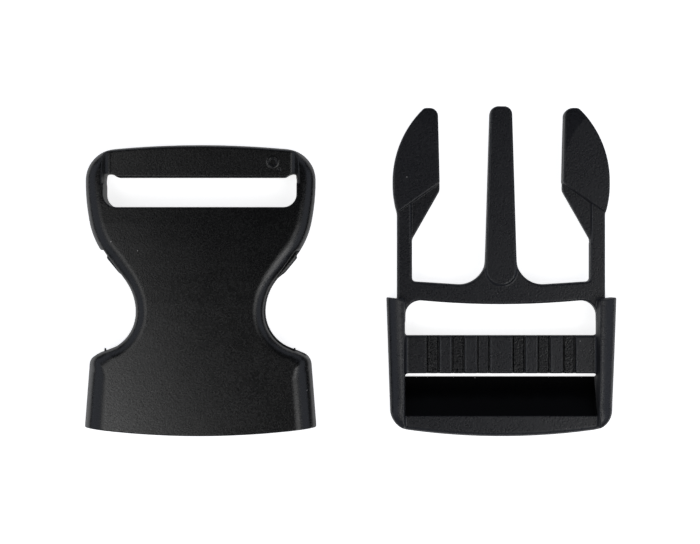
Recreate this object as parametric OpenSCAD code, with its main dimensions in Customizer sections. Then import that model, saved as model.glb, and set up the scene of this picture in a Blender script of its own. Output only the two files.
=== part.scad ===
// Side release buckle for flat webbing: a socket and a plug that lie side by side, unfastened.
// Millimetres. Each half is one moulded piece. Lengths along Y are counted from the middle of
// the mouth's front edge, which is also where that edge meets the plug when the two are pressed
// home, so the plug's own sizes read the same inside the socket as outside it.

/* [Webbing] */
// Width of the webbing that both halves carry
webbing_w = 50; // [44:1:56]
// Play between the webbing and each rail beside it
webbing_play = 0.5; // [0.3:0.1:1]

/* [Layout] */
// Free table between the two halves
halves_gap = 18.7; // [5:0.1:40]
// How far the socket's front edge lies past the plug's end bar
ends_step = 0.4; // [0:0.1:5]

/* [Body] */
// Thickness of the socket's mouth and of the plug's rails beside it
body_t = 12.4; // [11.5:0.1:14]
// How much lower the socket's webbing end is than its mouth
shield_drop = 2.8; // [1:0.1:4]
// How much lower the plug's rails are at their end than at the shoulders
rail_drop = 1.8; // [1:0.1:3]
// Bow of the mouth's front edge, from its middle to its corners
front_bow = 2.1; // [1:0.1:3]
// Radius of the long upper edges at the sides
side_round = 4.5; // [2:0.1:5]
// Radius of the long lower edges at the sides
sole_round = 2; // [0.5:0.1:3]

/* [Socket] */
// Thickness of the shield and of the plate under it
plate_t = 2.5; // [1.8:0.1:2.7]
// Wall of the mouth beside the arms
mouth_wall = 2.85; // [2:0.05:4]
// Width of each rail beside the webbing slot
socket_rail_w = 5; // [4:0.1:7]
// Wall between the hollow and the webbing slot
end_wall = 6.1; // [4:0.1:9]
// Length of the webbing slot
slot_len = 7.9; // [6:0.1:11]
// Length of the bar that the webbing is sewn round
bar_len = 8.65; // [7:0.05:12]
// Height of the bar's upper face
bar_top = 7.4; // [6.5:0.1:8.5]
// Height of the bar's lower face
bar_bottom = 1.4; // [0.6:0.1:2]
// Bow of the bar's outer edge, from its middle to its corners
end_bow = 1; // [0.5:0.1:2]
// Radius of the two outer corners
end_corner_r = 8.4; // [4:0.1:10]
// How far the mouth's shoulders fall from the waist to the corners
shoulder_fall = 1.9; // [1:0.1:3]
// Radius of the mouth's upper corners
shoulder_r = 4.2; // [2:0.1:5]
// Radius of the waist beside the mouth's shoulders
waist_r = 10.8; // [6:0.1:12]
// Radius of the mouth's front corners
mouth_corner_r = 0.6; // [0.3:0.1:2]
// Taper of each side of the mouth, from the front to the shoulders
mouth_taper = 1.45; // [0.5:0.05:2]
// Thickness of the ribs that guide the tongue
guide_t = 2; // [1.5:0.1:3]
// Distance from the front edge to the ribs
guide_y = 13; // [11:0.5:18]

/* [Fit] */
// Clearance above, below and beside the latch heads and arms
slide_gap = 0.3; // [0.2:0.05:0.5]
// Clearance on each side of the tongue between its ribs
tongue_gap = 0.5; // [0.3:0.05:0.8]
// Clearance round the arms' outer edges inside the shield
nose_gap = 0.7; // [0.5:0.05:1.2]
// Free space past the tongue's tip
tip_gap = 1.6; // [1:0.1:3]
// Play along the buckle between the latch heads and their catches
catch_play = 2.8; // [0.5:0.1:3]
// How far each latch head reaches over its catch
catch_hold = 2.35; // [1.5:0.05:3]

/* [Prongs] */
// Length of the tongue from the front edge
tongue_len = 52.8; // [48:0.1:58]
// Width of the tongue at its root
tongue_root_w = 8.3; // [7:0.1:10]
// Width of the tongue at its tip
tongue_tip_w = 5.7; // [4.5:0.1:6.5]
// Thickness of the tongue
tongue_t = 5.8; // [5.2:0.1:6.6]
// Radius of the fillets between the tongue and the crossbar
tongue_fillet_r = 6; // [3:0.1:6.5]
// How much shorter the arms are than the tongue
arm_short = 0.5; // [0:0.1:3]
// Thickness of the arms and the crossbar
arm_t = 4.8; // [4:0.1:5.4]
// Width of the springy part of each arm
arm_w = 4; // [3:0.1:5]
// Width of each latch head
head_w = 12.5; // [10:0.1:14]
// Taper of each head's inner edge, from the catch to the tip
head_taper = 0.5; // [0:0.1:1.5]
// How far the heads bulge out past the arms
head_bulge = 1.15; // [0.5:0.05:1.6]
// How far each head's outer edge curves in by its tip
nose_in = 8.3; // [6:0.1:9]
// Distance from the front edge to the outer end of each head's catch
head_y = 24.25; // [22:0.05:27]
// How far each head's catch slants up towards the tongue
catch_rise = 8; // [5:0.1:9]
// Depth of the sloped nose on each face of a head, at its tip
nose_depth = 1.4; // [0.5:0.1:2]
// How far the head stands out of the waist when fastened
press_depth = 11.75; // [9:0.05:12.5]

/* [Adjuster] */
// Width of each rail beside the adjuster
plug_rail_w = 4.87; // [4:0.01:6.5]
// Width of the shoulder between an arm and the side of its rail
shoulder_w = 2.75; // [2:0.05:3.5]
// Distance from the front edge in to the crossbar
crossbar_y = 0.2; // [0:0.1:1]
// Depth of the crossbar at its middle
crossbar_d = 4.85; // [4:0.05:6]
// Radius of the window's corners beside the crossbar
window_r = 4.2; // [2:0.1:5]
// Length of the window between the crossbar and the ladder bar
window_len = 8.1; // [6:0.1:11]
// Length of the ladder bar
ladder_d = 10.1; // [8:0.1:13]
// Thickness of the ladder bar
ladder_t = 4.6; // [3:0.1:5]
// Height of the ladder bar's lower face
ladder_z = 3.2; // [2.5:0.1:4]
// Number of grip channels on each side of the ladder bar's middle
channels = 3; // [2:1:4]
// Width of a grip channel
channel_w = 3; // [2:0.1:4]
// Distance between neighbouring grip channels
channel_pitch = 6.7; // [5:0.1:8]
// Bare stretch in the middle of the ladder bar
channel_middle = 6.4; // [3:0.1:10]
// Depth of a grip channel
channel_depth = 0.4; // [0.2:0.1:0.8]
// Gap in plan between the ladder bar and the lip below it
lip_gap = 1.1; // [0.5:0.1:2]
// Height of the lip's edge
lip_z = 1; // [0.6:0.1:1.6]
// Length of the slope from the lip up to the land
slope_len = 10.1; // [8:0.1:12]
// Thickness of the sloped plate
slope_t = 3; // [1.8:0.1:3.4]
// Length of the end bar's flat land at its middle
land_d = 5.5; // [4:0.1:8]
// Length of the end bar's heel, which is solid down to the sole
heel_d = 7.5; // [6:0.1:9]
// Height of the end bar's land
land_z = 8.8; // [7.5:0.1:9.4]
// Bow of the plug's end, from its middle to its corners
plug_bow = 2.3; // [1:0.1:4]
// Radius of the plug's end corners
plug_corner_r = 5.6; // [3:0.1:7]
// Taper of each rail's outer side, from the shoulder to the end
rail_taper = 1.1; // [0:0.1:2]

/* [Hidden] */
plastic = [0.13, 0.13, 0.14];
// Largest distance between a curve and its chords
chord_error = 0.015;
// How far a cutter passes the face that it cuts
past = 5;
// Overlap of solids that are joined
sink = 0.5;

// Flats that the circles of the latch windows are made of
window_flats = 180;

// Radii of the long arcs in which the socket and the plug's rails fall to their webbing ends
shield_crown_r = 400;
rail_crown_r = 280;
// Where those arcs are centred, back from the webbing slot and from the front edge
shield_crown_back = 7;
rail_crown_back = 12;
// The shield's neck, from the waist to the rails, each row [share of spread, share of neck, radius].
neck_rows = [
    [0, 0.42, 14.7],
    [0.835, 0.77, 24],
    [1, 1.07, 60]
];
// Share of a head's outer curve that stands in its latch window
window_share = 0.84;
// Radii of the webbing slot's corners, beside the hollow and beside the bar
slot_top_r = 3.5;
slot_bar_r = 1;

// Radii of the tongue's tip, and of an arm's corners: its tip, the head's elbow, and the outer
// and inner bends where the springy part meets the head
tongue_tip_r = 2.2;
tip_outer_r = 1.6;
tip_inner_r = 2.2;
elbow_r = 3;
beam_outer_r = 4;
beam_inner_r = 2.5;
// How far the elbow and the inner bend lie back from the head's middle and from its catch
elbow_back = 1.6;
beam_back = 6;
// Where the nose's slope starts at the inner edge, and where it ends beside the tip
nose_foot_y = 7;
nose_crest_x = 6.6;
nose_crest_y = 2.8;
// Flat in the middle of the tongue's half-round foot
foot_flat = 0.1;

// Radii of the rail shoulders' outer corners and of the ladder bar's long edges
shoulder_corner_r = 0.3;
ladder_edge_r = 1;
// Share of the plug's end that is one arc, before its straight run to the corners
end_arc_share = 0.83;

slot_half = webbing_w / 2 + webbing_play;
plug_half = slot_half + plug_rail_w;
arm_half = plug_half - shoulder_w;
groove_half = arm_half + slide_gap;
mouth_half = groove_half + mouth_wall;
end_half = slot_half + socket_rail_w;
head_half = arm_half + head_bulge;
waist_half = head_half - press_depth;
pad_half = arm_half - catch_hold;
head_inner = head_half - head_w;
socket_half = max(mouth_half, end_half);

mid_z = body_t / 2;
hollow_t = body_t - 2 * plate_t;
head_t = hollow_t - 2 * slide_gap;

// Where things are along the socket, from the middle of its front edge.
mouth_len = head_y - catch_play;
hollow_len = tongue_len + tip_gap;
slot_y = hollow_len + end_wall;
bar_y = slot_y + slot_len;
socket_len = bar_y + bar_len;
arm_len = tongue_len - arm_short;
head_mid_y = head_y + catch_rise;
head_r = (pow(nose_in, 2) + pow(arm_len - head_mid_y, 2)) / (2 * nose_in);
window_y = -window_len;
ladder_y = window_y - ladder_d;
lip_y = ladder_y - lip_gap;
land_y = lip_y - slope_len;
plug_y = land_y - land_d;

// Where the two halves lie, so that their common box is centred.
wide = 2 * socket_half + halves_gap + 2 * plug_half;
low_y = min(plug_y, plug_y + ends_step);
high_y = max(tongue_len, arm_len, plug_y + ends_step + socket_len);
socket_at = [socket_half - wide / 2, plug_y + ends_step - (low_y + high_y) / 2, 0];
plug_at = [wide / 2 - plug_half, -(low_y + high_y) / 2, 0];

// An outline is a list of corners, each [x, y, radius]; a radius of 0 is a sharp corner.
function unit(v) = v / norm(v);
function at(rows, i) = let (row = rows[(i + len(rows)) % len(rows)]) [row[0], row[1]];
function half_angle(rows, i) =
    acos(unit(at(rows, i - 1) - at(rows, i)) * unit(at(rows, i + 1) - at(rows, i))) / 2;
function reach(rows, i) = let (k = (i + len(rows)) % len(rows)) rows[k][2] / tan(half_angle(rows, k));
// A side that is too short for the arcs at both its ends shrinks them alike.
function side_share(rows, i) = let (wanted = reach(rows, i) + reach(rows, i + 1))
    wanted == 0 ? 1 : min(1, norm(at(rows, i + 1) - at(rows, i)) / wanted);
function arc_radius(rows, i) = rows[i][2] * min(side_share(rows, i - 1), side_share(rows, i));
function corner_arc(rows, i) =
    let (
        r = arc_radius(rows, i),
        here = at(rows, i),
        back = unit(at(rows, i - 1) - here),
        ahead = unit(at(rows, i + 1) - here),
        half = half_angle(rows, i),
        centre = here + unit(back + ahead) * r / sin(half),
        from = here + back * r / tan(half) - centre,
        side = sign(cross(back, ahead)),
        swept = 180 - 2 * half,
        steps = max(2, ceil(swept / (2 * acos(1 - chord_error / r))))
    )
    [for (s = [0:steps]) let (a = -side * swept * s / steps)
        centre + [from[0] * cos(a) - from[1] * sin(a), from[0] * sin(a) + from[1] * cos(a)]];
function rounded(rows) = [for (i = [0:len(rows) - 1]) each
    rows[i][2] > 0 ? corner_arc(rows, i) : [at(rows, i)]];
// The right half of an outline, from one end of the axis to the other, and its mirror image.
function both_sides(rows) = concat(rows, [for (i = [len(rows) - 1:-1:0])
    if (rows[i][0] > 0) [-rows[i][0], rows[i][1], rows[i][2]]]);
// Radius of an arc that rises by bow over half its width.
function bow_r(half, bow) = half * half / (2 * bow);
// How far the front edge has bowed at a distance from the axis. The plug's edges bow with it.
function front_rise(x) = front_bow * pow(x / mouth_half, 2);
// Corner row on the axis for a bow that runs out to half, and its tangent at a distance x.
function bow_line(half, x) = front_rise(half) * (2 * x / half - 1);
function bow_row(half, y) = [0, y + bow_line(half, 0), bow_r(mouth_half, front_bow)];
// The lower edge of a latch head, which its catch in the socket follows.
function head_line(x) = head_y + catch_rise * (arm_half - x) / (arm_half - head_inner);

module along_x(length) {
    rotate([90, 0, 90]) linear_extrude(height = length, center = true) children();
}

module along_y(length) {
    rotate([90, 0, 0]) linear_extrude(height = length, center = true) children();
}

module both() {
    children();
    mirror([1, 0, 0]) children();
}

// Plan of the socket: bowed mouth, waist between the latch windows, and a broad webbing end.
module socket_plan() {
    neck = slot_y - mouth_len;
    spread = end_half - waist_half;
    end_flat = end_half - end_corner_r;
    polygon(rounded(both_sides(concat(
        [
            bow_row(mouth_half, 0),
            [mouth_half, front_bow, mouth_corner_r],
            [mouth_half - mouth_taper, mouth_len, shoulder_r],
            [waist_half, mouth_len + shoulder_fall, waist_r]
        ],
        [for (row = neck_rows) [waist_half + row[0] * spread, mouth_len + row[1] * neck, row[2]]],
        [
            [end_half, socket_len - end_bow * (2 * end_half / end_flat - 1), end_corner_r],
            [0, socket_len + end_bow, bow_r(end_flat, end_bow)]
        ]
    ))));
}

// Side view of a half: level beside the mouth, falling in a long arc to its webbing end.
module side_view(length, drop, bend_y, crown_r) {
    drop_per_mm = drop / (length - bend_y);
    far = length + past;
    polygon(rounded([
        [-past, 0, 0],
        [far, 0, 0],
        [far, body_t - drop - past * drop_per_mm, 0],
        [bend_y, body_t, crown_r],
        [-past, body_t, 0]
    ]));
}

// Front view of a half, with its long edges rounded.
module front_view(half) {
    polygon(rounded([
        [-half, 0, sole_round],
        [half, 0, sole_round],
        [half, body_t, side_round],
        [-half, body_t, side_round]
    ]));
}

// Free space between the plates: the mouth, the latch windows and the room for the arms' tips.
module hollow_plan() {
    window_top = head_mid_y + window_share * (arm_len - head_mid_y);
    far = socket_half + past;
    difference() {
        union() {
            polygon([
                [-pad_half, -past],
                [pad_half, -past],
                [pad_half, head_line(pad_half) - catch_play],
                [groove_half, head_line(groove_half) - catch_play],
                [far, head_line(groove_half) - catch_play],
                [far, window_top],
                [-far, window_top],
                [-far, head_line(groove_half) - catch_play],
                [-groove_half, head_line(groove_half) - catch_play],
                [-pad_half, head_line(pad_half) - catch_play]
            ]);
            intersection() {
                both() translate([head_half - head_r, head_mid_y])
                    circle(r = head_r + nose_gap, $fn = window_flats);
                translate([-far, window_top - sink]) square([2 * far, hollow_len - window_top + sink]);
            }
        }
        both() translate([tongue_root_w / 2 + tongue_gap, guide_y]) square([guide_t, hollow_len]);
    }
}

module webbing_slot() {
    translate([0, 0, -past]) linear_extrude(height = body_t + 2 * past) polygon(rounded([
        [-slot_half, slot_y, slot_top_r],
        [slot_half, slot_y, slot_top_r],
        [slot_half, bar_y, slot_bar_r],
        [-slot_half, bar_y, slot_bar_r]
    ]));
}

// The bar's upper and lower faces lie inside the rails'.
module bar_recesses() {
    for (z = [bar_bottom - body_t, bar_top])
        translate([-slot_half, bar_y - sink, z]) cube([2 * slot_half, bar_len + past, body_t]);
}

module socket() {
    color(plastic) translate(socket_at) difference() {
        intersection() {
            linear_extrude(height = body_t) socket_plan();
            along_x(2 * (socket_half + past))
                side_view(socket_len, shield_drop, slot_y - shield_crown_back, shield_crown_r);
            along_y(2 * (socket_len + past)) front_view(socket_half);
        }
        translate([0, 0, plate_t]) linear_extrude(height = hollow_t) hollow_plan();
        both() translate([pad_half - sink, -past, mid_z - arm_t / 2 - slide_gap])
            cube([groove_half - pad_half + sink, head_y + past, arm_t + 2 * slide_gap]);
        webbing_slot();
        bar_recesses();
    }
}

// Plan of the right arm: springy beam, web, and latch head with a curved outer edge.
module arm_plan() {
    lean = asin((arm_len - head_mid_y) / head_r);
    polygon(rounded([
        [arm_half, crossbar_y + crossbar_d / 2, 0],
        [arm_half, head_y, beam_outer_r],
        [head_half, head_y + catch_rise / 2, head_r],
        [head_half, head_mid_y + head_r * tan(lean / 2), head_r],
        [head_half - nose_in, arm_len, tip_outer_r],
        [head_inner + head_taper, arm_len, tip_inner_r],
        [head_inner, head_mid_y - elbow_back, elbow_r],
        [arm_half - arm_w, head_y - beam_back, beam_inner_r],
        [arm_half - arm_w, crossbar_y + crossbar_d / 2, 0]
    ]));
}

// The catch is the slanted lower end of the head's extra thickness.
module head_plan() {
    intersection() {
        arm_plan();
        polygon([
            [head_inner - past, head_line(head_inner - past)],
            [head_half + past, head_line(head_half + past)],
            [head_half + past, arm_len + past],
            [head_inner - past, arm_len + past]
        ]);
    }
}

// A slope that thins the head's inner tip, so that it enters the mouth easily.
module nose_cut() {
    foot = [head_inner, head_mid_y + nose_foot_y];
    crest = [head_half - nose_crest_x, arm_len - nose_crest_y];
    turn = atan2(crest[1] - foot[1], crest[0] - foot[0]);
    run = (crest - foot) * [-sin(turn), cos(turn)] + norm(crest - foot) / 2;
    translate([foot[0], foot[1], mid_z + head_t / 2]) rotate([0, 0, turn])
        rotate([-atan(nose_depth / run), 0, 0])
            translate([-norm(crest - foot), 0, 0]) cube([4 * norm(crest - foot), 4 * head_w, head_t]);
}

module arms() {
    both() {
        translate([0, 0, mid_z - arm_t / 2]) linear_extrude(height = arm_t) arm_plan();
        difference() {
            translate([0, 0, mid_z - head_t / 2]) linear_extrude(height = head_t) head_plan();
            nose_cut();
            translate([0, 0, 2 * mid_z]) mirror([0, 0, 1]) nose_cut();
        }
    }
}

// Crossbar between the rails, with the window's corner fillets and the tongue's root fillets.
module crossbar() {
    root_half = tongue_root_w / 2;
    window_half = slot_half - window_r;
    translate([0, 0, mid_z - arm_t / 2]) linear_extrude(height = arm_t) polygon(rounded(both_sides([
        bow_row(window_half, crossbar_y),
        [slot_half, crossbar_y + bow_line(window_half, slot_half), window_r],
        [slot_half, -window_r - sink, 0],
        [arm_half, -window_r - sink, 0],
        [arm_half, crossbar_y + crossbar_d + front_rise(arm_half), 0],
        [root_half, crossbar_y + crossbar_d, tongue_fillet_r],
        [root_half - sink, guide_y, 0]
    ])));
}

// The tongue is a thicker slab with a round foot on the crossbar and a blunt tip.
module tongue() {
    root_half = tongue_root_w / 2;
    tip_half = tongue_tip_w / 2;
    translate([0, 0, mid_z - tongue_t / 2]) linear_extrude(height = tongue_t) polygon(rounded(both_sides([
        [root_half, crossbar_y + crossbar_d, root_half - foot_flat / 2],
        [tip_half, tongue_len, tongue_tip_r]
    ])));
}

// Plan of the adjuster's frame: bowed shoulders, tapered sides and a bowed end.
module frame_plan() {
    corner_x = plug_half - rail_taper;
    arc_bow = plug_bow * end_arc_share / (2 - end_arc_share);
    polygon(rounded(both_sides([
        [0, plug_y - arc_bow, bow_r(end_arc_share * corner_x, arc_bow)],
        [corner_x, plug_y + plug_bow, plug_corner_r],
        [plug_half, bow_line(mouth_half, plug_half), shoulder_corner_r],
        bow_row(mouth_half, 0)
    ])));
}

// The adjuster's outer form, from which the rails and the end bar are taken.
module frame_block() {
    intersection() {
        linear_extrude(height = body_t) frame_plan();
        along_x(2 * (plug_half + past)) mirror([1, 0])
            side_view(-plug_y, rail_drop, rail_crown_back, rail_crown_r);
        along_y(2 * (past - plug_y)) front_view(plug_half);
    }
}

module rails() {
    difference() {
        frame_block();
        translate([-slot_half, plug_y - past, -past])
            cube([2 * slot_half, 2 * past - plug_y, body_t + 2 * past]);
    }
}

// The ladder bar, with grip channels across it.
module ladder_bar() {
    difference() {
        along_x(2 * (slot_half + sink)) polygon(rounded([
            [ladder_y, ladder_z, ladder_edge_r],
            [window_y, ladder_z, ladder_edge_r],
            [window_y, ladder_z + ladder_t, ladder_edge_r],
            [ladder_y, ladder_z + ladder_t, ladder_edge_r]
        ]));
        both() for (i = [0:channels - 1])
            translate([
                channel_middle / 2 + i * channel_pitch,
                ladder_y - past,
                ladder_z + ladder_t - channel_depth
            ]) cube([channel_w, ladder_d + 2 * past, ladder_t]);
    }
}

// Side view of the end bar: a land, and a thin plate that slopes down to the lip below the ladder.
module end_bar_view() {
    rise = land_z - lip_z;
    slope = atan(rise / slope_len);
    under = slope_t / cos(slope);
    foot_y = lip_y - (under - lip_z) / tan(slope);
    heel_y = plug_y + heel_d;
    polygon([
        [lip_y, 0],
        [lip_y, lip_z],
        [land_y, land_z],
        [plug_y - past, land_z],
        [plug_y - past, 0],
        [heel_y, 0],
        [heel_y, lip_z + rise * (lip_y - heel_y) / slope_len - under],
        [foot_y, 0]
    ]);
}

module end_bar() {
    intersection() {
        linear_extrude(height = body_t) frame_plan();
        along_x(2 * (slot_half + sink)) end_bar_view();
    }
}

module plug() {
    color(plastic) translate(plug_at) {
        arms();
        crossbar();
        tongue();
        rails();
        ladder_bar();
        end_bar();
    }
}

socket();
plug();
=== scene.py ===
"""Dresses the side release buckle: a socket and a plug, each one moulding of black grained plastic.

Each half is modelled as one form in space: its outlines, heights, cuts and rounded edges are put
together as distances in millimetres, and the skin where the distance is nought becomes the mesh.
In the functions b holds the sizes that both halves share, s the socket's, p the plug's and f the
finish's, all as plain numbers with lengths in millimetres.
"""
import math
from types import SimpleNamespace

import bpy
import numpy as np
from bpy.props import FloatProperty, FloatVectorProperty, IntProperty, PointerProperty
from mathutils import Matrix, Vector


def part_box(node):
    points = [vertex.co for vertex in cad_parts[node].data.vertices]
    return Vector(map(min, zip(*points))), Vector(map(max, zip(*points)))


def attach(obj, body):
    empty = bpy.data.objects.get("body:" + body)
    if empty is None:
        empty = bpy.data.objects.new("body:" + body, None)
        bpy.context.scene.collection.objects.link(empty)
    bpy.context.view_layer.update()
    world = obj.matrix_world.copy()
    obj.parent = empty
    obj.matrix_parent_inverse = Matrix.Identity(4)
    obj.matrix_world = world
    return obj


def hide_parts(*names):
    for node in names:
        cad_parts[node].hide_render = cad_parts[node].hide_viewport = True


bl_info = {
    "name": "Side Release Buckle",
    "version": (1, 0, 0),
    "blender": (4, 5, 0),
    "location": "View3D > Sidebar > Buckle",
    "description": "Moulds the two halves of a side release buckle and sets up its studio",
    "category": "Object",
}

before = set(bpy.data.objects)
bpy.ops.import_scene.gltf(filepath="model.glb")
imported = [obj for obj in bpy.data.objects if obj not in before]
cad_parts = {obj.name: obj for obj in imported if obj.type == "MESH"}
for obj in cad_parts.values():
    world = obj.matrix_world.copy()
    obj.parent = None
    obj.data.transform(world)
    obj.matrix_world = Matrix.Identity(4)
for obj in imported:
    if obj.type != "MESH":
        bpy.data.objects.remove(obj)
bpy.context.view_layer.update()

MM = 0.001
SOCKET_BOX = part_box("socket")
PLUG_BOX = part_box("plug")

MARGIN = 1.2
# Grip channels on the ladder bar, on each side of the axis.
CHANNELS = 3


def length(name, description, millimetres, **more):
    """A size that a user can change, given here in millimetres and kept in metres."""
    return FloatProperty(
        name=name, description=description, default=millimetres * MM, min=0.0,
        unit="LENGTH", precision=5, **more)


class BuckleBodySizes(bpy.types.PropertyGroup):
    """Sizes that both halves share."""
    body_t: length("Thickness", "Thickness of the mouth and of the rails beside it", 12.4)
    slot_half: length("Half slot", "Half the width of the webbing slots", 25.5)
    front_bow: length("Front bow", "Bow of the mouth's front edge", 2.1)
    mouth_half: length("Half mouth", "Half the width of the mouth", 30.77)
    side_bend: length("Side bend", "Radius of the long upper edges beside the mouth", 5.8)
    sole_bend: length("Sole bend", "Radius of the long lower edges", 2.0)
    crisp: length("Crisp edge", "Radius of the edges that the mould leaves sharp", 0.3)
    seam: length("Parting line", "Height of the line where the halves of the mould met", 0.045)
    head_y: length("Catch distance", "From the front edge to each head's catch", 24.25)
    head_rise: length("Catch rise", "How far each catch slants up", 8.0)
    head_inner: length("Head inner edge", "From the axis to each head's inner edge", 16.27)
    arm_half: length("Half arms", "From the axis to the arms' outer sides", 27.62)
    head_half: length("Half heads", "From the axis to the heads' outer sides", 28.77)
    hollow_t: length("Hollow height", "Height of the hollow between the plates", 7.4)
    arm_t: length("Arm thickness", "Thickness of the arms and the crossbar", 4.8)
    arm_len: length("Arm length", "From the front edge to the arms' tips", 52.3)
    nose_in: length("Nose curve", "How far each head's outer edge curves in", 8.3)
    draft: FloatProperty(
        name="Draft", description="Lean of the moulded walls away from the parting line",
        default=0.014, min=0.0, max=0.1)


class BuckleSocketSizes(bpy.types.PropertyGroup):
    """Sizes of the socket."""
    long: length("Length", "Length of the socket", 77.05)
    end_half: length("Half end", "Half the width of the webbing end", 30.5)
    end_corner: length("End corner", "Radius of the two outer corners", 8.4)
    end_bow: length("End bow", "Bow of the bar's outer edge", 1.0)
    waist_half: length("Half waist", "Half the width of the waist", 17.02)
    waist_r: length("Waist radius", "Radius of the waist above the shoulders", 10.8)
    mouth_len: length("Mouth length", "From the front edge to the shoulders", 20.9)
    mouth_taper: length("Mouth taper", "Taper of each side of the mouth", 1.45)
    shoulder_r: length("Shoulder radius", "Radius of the shoulders' corners", 3.6)
    shoulder_fall: length("Shoulder fall", "How far the shoulders fall to the corners", 4.9)
    hollow_len: length("Hollow length", "Length of the hollow from the front edge", 54.4)
    slot_y: length("Slot distance", "From the front edge to the webbing slot", 60.5)
    slot_len: length("Slot length", "Length of the webbing slot", 7.9)
    slot_r: length("Slot corner", "Radius of the slot's corners beside the hollow", 3.4)
    bar_top: length("Bar top", "Height of the bar's upper face", 7.4)
    bar_bottom: length("Bar bottom", "Height of the bar's lower face", 1.4)
    bar_round: length("Bar rounding", "Radius of the bar's outer upper edge", 0.9)
    bar_lean: FloatProperty(
        name="Bar lean", description="How much the bar's upper face rises towards the end",
        default=0.02, min=0.0, max=0.1)
    drop: length("End drop", "How much lower the webbing end is than the mouth", 2.8)
    dome: length("Dome", "How much the shield falls from its middle to the waist's sides", 0.2)
    bend_flat: FloatProperty(
        name="Bend flatness", description="How much wider than deep the bends at the sides are",
        default=1.25, min=0.5, max=3.0)
    waist_bend: length("Waist bend", "Radius of the upper edge at the waist", 3.4)
    pad_half: length("Half pads", "From the axis to the catches' inner edges", 25.27)
    groove_half: length("Half grooves", "From the axis to the grooves' outer walls", 27.92)
    rib_in: length("Rib distance", "From the axis to the ribs beside the tongue", 4.65)
    rib_t: length("Rib thickness", "Thickness of the ribs beside the tongue", 2.0)
    rib_y: length("Rib start", "From the front edge to the ribs", 13.0)
    catch_play: length("Catch play", "Play between the heads and their catches", 2.8)
    lip_out: length("Lip reach", "How far the lower plate peeps out below the neck", 0.5)


class BucklePlugSizes(bpy.types.PropertyGroup):
    """Sizes of the plug."""
    tongue_len: length("Tongue length", "From the front edge to the tongue's tip", 52.8)
    tongue_root: length("Half tongue root", "Half the tongue's width at its root", 4.35)
    tongue_tip: length("Half tongue tip", "Half the tongue's width at its tip", 2.92)
    tongue_t: length("Tongue thickness", "Thickness of the tongue", 5.8)
    arm_w: length("Arm width", "Width of the springy part of each arm", 4.0)
    head_t: length("Head thickness", "Thickness of the latch heads", 6.8)
    web_t: length("Web thickness", "Thickness of the web below each head", 3.0)
    nose_slope: FloatProperty(
        name="Nose slope", description="Slope of each head's inner tip", default=0.1, min=0.0, max=1.0)
    bar_y: length("Crossbar distance", "From the front edge in to the crossbar", 0.2)
    bar_d: length("Crossbar depth", "Depth of the crossbar at its middle", 4.85)
    window_len: length("Window length", "Length of the window behind the crossbar", 8.1)
    window_r: length("Window corner", "Radius of the window's corners", 4.2)
    ladder_d: length("Ladder length", "Length of the ladder bar", 10.1)
    ladder_z: length("Ladder bottom", "Height of the ladder bar's lower face", 3.2)
    ladder_t: length("Ladder thickness", "Thickness of the ladder bar", 4.6)
    channel_w: length("Channel width", "Width of a grip channel", 3.0)
    channel_pitch: length("Channel pitch", "Distance between the grip channels", 6.7)
    channel_first: length("First channel", "From the axis to the nearest channel's side", 3.2)
    channel_deep: length("Channel depth", "Depth of a grip channel", 0.5)
    lip_y: length("Lip distance", "From the front edge back to the slope's lip", 19.3)
    lip_z: length("Lip height", "Height of the lip's edge", 1.0)
    land_y: length("Land distance", "From the front edge back to the land", 29.4)
    land_z: length("Land height", "Height of the end bar's land", 8.8)
    slope_t: length("Slope thickness", "Thickness of the sloped plate", 3.0)
    heel_d: length("Heel depth", "Depth of the solid heel", 7.5)
    back: length("Back length", "From the front edge back to the plug's end", 34.9)
    end_bow: length("End bow", "Bow of the plug's end", 2.3)
    end_corner: length("End corner", "Radius of the plug's end corners", 5.6)
    rail_half: length("Half width", "Half the width over the rails", 30.37)
    rail_taper: length("Rail taper", "Taper of each rail's outer side", 1.1)
    rail_drop: length("Rail drop", "How much lower the rails are at their end", 1.8)
    rail_bend: length("Rail bend", "Width of the bend along each rail's outer side", 5.0)
    rail_flat: FloatProperty(
        name="Rail flatness", description="How much wider than deep the rails' bends are",
        default=1.9, min=0.5, max=4.0)
    rail_lean: length("Rail lean", "How far each rail's inner wall leans back at its top", 0.3)
    rail_under: length("Rail undercut", "How far each rail's inner wall leans back at its foot", 0.5)


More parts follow.
